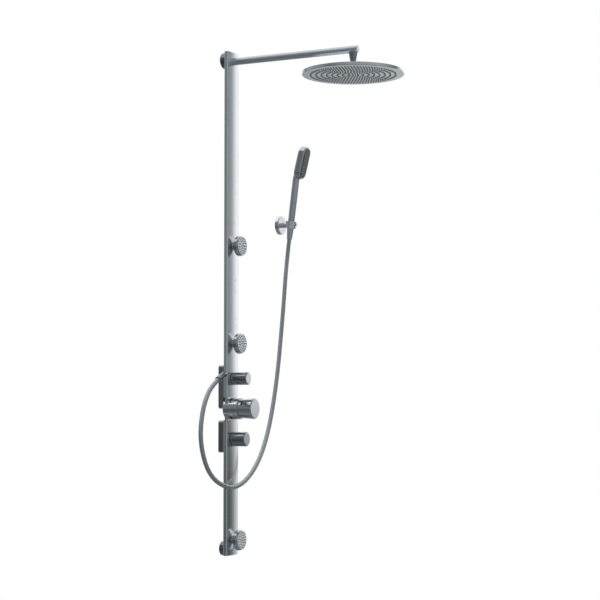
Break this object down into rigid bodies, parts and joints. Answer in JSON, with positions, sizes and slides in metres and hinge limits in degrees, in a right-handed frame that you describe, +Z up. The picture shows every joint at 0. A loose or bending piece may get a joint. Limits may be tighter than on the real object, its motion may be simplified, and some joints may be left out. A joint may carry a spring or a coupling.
{
  "type": "shower panel column",
  "caption": "Wall-mounted shower column with a flat profile, a wide rain head on a straight arm, swivelling body jets, a thermostatic mixer and a hand shower on a hose.",
  "frame": {"origin": "on the wall plane, on the panel centre plane, at the height of the mixer axis, which is the centre of the valve wall fixing pattern", "axes": "+Z up, -Y out of the wall into the room, +X to the right seen from the room"},
  "size_m": [0.6071, 0.586, 1.519],
  "materials": {
    "panel_chrome": "polished",
    "polished_chrome": "polished",
    "cover_chrome": "polished",
    "handle_chrome": "polished",
    "handset_chrome": "polished",
    "jet_chrome": "polished",
    "head_face_metal": "satin",
    "hose_metal": "spiral wound, polished",
    "stainless": "brushed",
    "cast_brass": "machined",
    "copper_pipe": "drawn",
    "seal_rubber": "matte",
    "white_plastic": "matte",
    "dark_plastic": "satin",
    "jet_face_plastic": "satin"
  },
  "bodies": {
    "column": {"arm_end_cap": "polished_chrome", "arm_socket": "cast_brass", "bracket_flange": "polished_chrome", "bracket_holder": "polished_chrome", "bracket_plate": "stainless", "cartridge_nuts": "cast_brass", "cover_grub_screws": "stainless", "cradle_lining": "dark_plastic", "disc_cartridges": "white_plastic", "drop_cone": "polished_chrome", "end_caps": "panel_chrome", "foot_wall_spacer": "polished_chrome", "head_ball_stub": "polished_chrome", "hose": "hose_metal", "hose_nut": "polished_chrome", "hose_outlet_elbow": "polished_chrome", "hose_washer": "seal_rubber", "inlet_unions": "cast_brass", "jet_sockets": "polished_chrome", "lower_back_plate": "stainless", "lower_jet_pipe": "copper_pipe", "lower_profile": "panel_chrome", "lower_valve_body": "cast_brass", "lower_valve_cover": "cover_chrome", "mixer_body": "polished_chrome", "pan_head_screws": "stainless", "rain_arm": "polished_chrome", "riser_pipe": "copper_pipe", "thermostatic_cartridge": "white_plastic", "top_wall_spacer": "polished_chrome", "transfer_pipes": "copper_pipe", "upper_back_plate": "stainless", "upper_jet_pipe": "copper_pipe", "upper_profile": "panel_chrome", "upper_valve_body": "cast_brass", "upper_valve_cover": "cover_chrome"},
    "diverter": {"diverter_handle": "handle_chrome", "diverter_spindle": "cast_brass"},
    "temperature": {"temperature_handle": "handle_chrome", "temperature_spindle": "cast_brass"},
    "temperature_stop": {"stop_button": "dark_plastic"},
    "jets_valve": {"jets_handle": "handle_chrome", "jets_spindle": "cast_brass"},
    "head_seat": {"head_seat_ring": "white_plastic"},
    "rain_head": {"head_swivel_nut": "polished_chrome", "rain_head_shell": "polished_chrome", "rain_head_face": "head_face_metal"},
    "hose_end": {"hose_ferrule": "cast_brass"},
    "handset": {"cone_nut": "polished_chrome", "handset_body": "handset_chrome", "handset_face": "dark_plastic"},
    "top_seat": {"top_jet_seat": "white_plastic"},
    "top_jet": {"top_jet_bell": "jet_chrome", "top_jet_face": "jet_face_plastic"},
    "middle_seat": {"middle_jet_seat": "white_plastic"},
    "middle_jet": {"middle_jet_bell": "jet_chrome", "middle_jet_face": "jet_face_plastic"},
    "low_seat": {"low_jet_seat": "white_plastic"},
    "low_jet": {"low_jet_bell": "jet_chrome", "low_jet_face": "jet_face_plastic"}
  },
  "joints": [
    {"name": "diverter_turn", "type": "hinge", "parent": "column", "child": "diverter", "pos_m": [0, -0.06, 0.09], "axis": [0, -1, 0], "range_deg": [-90, 90]},
    {"name": "temperature_turn", "type": "hinge", "parent": "column", "child": "temperature", "pos_m": [0, -0.08, 0], "axis": [0, -1, 0], "range_deg": [-180, 60]},
    {"name": "stop_button_press", "type": "slide", "parent": "temperature", "child": "temperature_stop", "axis": [0.8387, 0, -0.5446], "range_m": [0, 0.002], "stiffness_N_per_m": 400},
    {"name": "jets_turn", "type": "hinge", "parent": "column", "child": "jets_valve", "pos_m": [0, -0.06, -0.091], "axis": [0, -1, 0], "range_deg": [0, 90]},
    {"name": "head_tilt_side", "type": "hinge", "parent": "column", "child": "head_seat", "pos_m": [0, -0.436, 1], "axis": [0, 1, 0], "range_deg": [-12, 12]},
    {"name": "head_tilt_front", "type": "hinge", "parent": "head_seat", "child": "rain_head", "pos_m": [0, -0.436, 1], "axis": [1, 0, 0], "range_deg": [-12, 12]},
    {"name": "handset_lift", "type": "slide", "parent": "column", "child": "hose_end", "axis": [0, -0.1271, 0.9919], "range_m": [0, 0.07]},
    {"name": "handset_turn", "type": "hinge", "parent": "hose_end", "child": "handset", "pos_m": [0.366, -0.043, 0.588], "axis": [0, -0.1271, 0.9919], "range_deg": [-90, 90]},
    {"name": "top_jet_pan", "type": "hinge", "parent": "column", "child": "top_seat", "pos_m": [0, -0.045, 0.489], "axis": [0, 0, 1], "range_deg": [-8, 8]},
    {"name": "top_jet_tilt", "type": "hinge", "parent": "top_seat", "child": "top_jet", "pos_m": [0, -0.045, 0.489], "axis": [1, 0, 0], "range_deg": [-8, 8]},
    {"name": "middle_jet_pan", "type": "hinge", "parent": "column", "child": "middle_seat", "pos_m": [0, -0.045, 0.195], "axis": [0, 0, 1], "range_deg": [-8, 8]},
    {"name": "middle_jet_tilt", "type": "hinge", "parent": "middle_seat", "child": "middle_jet", "pos_m": [0, -0.045, 0.195], "axis": [1, 0, 0], "range_deg": [-8, 8]},
    {"name": "low_jet_pan", "type": "hinge", "parent": "column", "child": "low_seat", "pos_m": [0, -0.045, -0.391], "axis": [0, 0, 1], "range_deg": [-8, 8]},
    {"name": "low_jet_tilt", "type": "hinge", "parent": "low_seat", "child": "low_jet", "pos_m": [0, -0.045, -0.391], "axis": [1, 0, 0], "range_deg": [-8, 8]}
  ]
}
